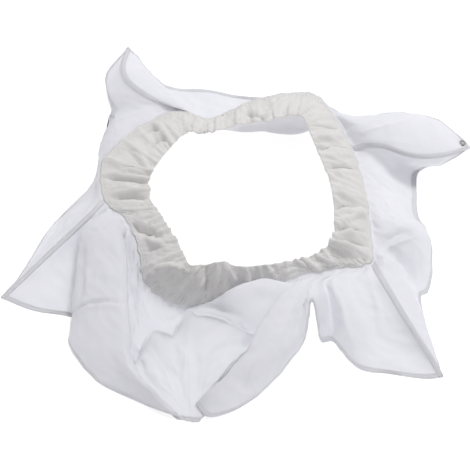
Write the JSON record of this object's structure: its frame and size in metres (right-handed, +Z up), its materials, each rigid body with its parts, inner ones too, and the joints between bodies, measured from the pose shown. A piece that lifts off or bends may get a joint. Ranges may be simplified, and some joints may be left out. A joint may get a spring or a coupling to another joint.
{
  "type": "beekeeping veil skirt",
  "caption": "Loose white cotton veil skirt laid out flat, with flared panels sewn to an elastic-gathered cuff round a wide opening and a small metal eyelet at a corner.",
  "frame": {"origin": "under the middle of the laid-out piece's box, on the surface that it lies on", "axes": "+Z up from the surface, +Y to the back, away from the long front fold, +X to the right"},
  "size_m": [0.64, 0.6604, 0.0748],
  "materials": {
    "white_cotton": "thin plain-woven cotton, cool white, slightly see-through",
    "casing_cotton": "the same cotton doubled over and gathered, a little warmer",
    "knit_elastic": "flat knitted elastic, hidden in the casing",
    "nickelled_brass": "nickel-plated, pressed and rolled"
  },
  "bodies": {
    "root": {"cuff_casing": "casing_cotton", "elastic_band": "knit_elastic", "skirt_left": "white_cotton", "skirt_front": "white_cotton", "skirt_right": "white_cotton", "skirt_back": "white_cotton", "eyelet_grommet": "nickelled_brass", "eyelet_washer": "nickelled_brass"}
  },
  "joints": []
}
